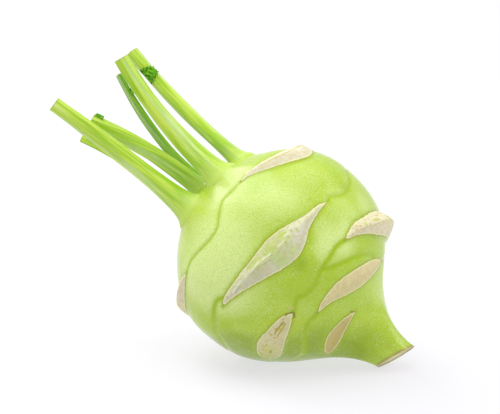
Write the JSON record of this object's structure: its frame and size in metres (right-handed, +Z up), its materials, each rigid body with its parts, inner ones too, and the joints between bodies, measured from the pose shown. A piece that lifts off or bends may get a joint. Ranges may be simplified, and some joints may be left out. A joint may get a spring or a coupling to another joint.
{
  "type": "kohlrabi",
  "caption": "Whole kohlrabi lying on its side: round pale green bulb with leaf scars and a cut root, and cut leaf stalks.",
  "frame": {"origin": "middle of the footprint box at the surface that the kohlrabi lies on", "axes": "+Z up; +X from the cut leaf stalks to the cut root, level; +Y level, across the bulb"},
  "size_m": [0.145, 0.0888, 0.1215],
  "materials": {
    "skin": "smooth waxy vegetable skin, pale yellow-green, with cream leaf scars",
    "stalk": "smooth fibrous stalk, yellow-green",
    "stalk_dark": "smooth fibrous stalk, deep green",
    "leaf": "crinkled leaf blade, dark green, matte",
    "bud": "folded young leaves, pale green"
  },
  "bodies": {
    "root": {"bulb": "skin", "stalk_front_low": "stalk", "stalk_short_pale": "stalk", "stalk_middle": "stalk", "stalk_thin_dark": "stalk_dark", "stalk_front_broad": "stalk", "stalk_rear": "stalk", "leaf_scrap_middle": "leaf", "leaf_scrap_thin": "leaf", "leaf_scrap_rear": "leaf", "heart_bud": "bud"}
  },
  "joints": []
}
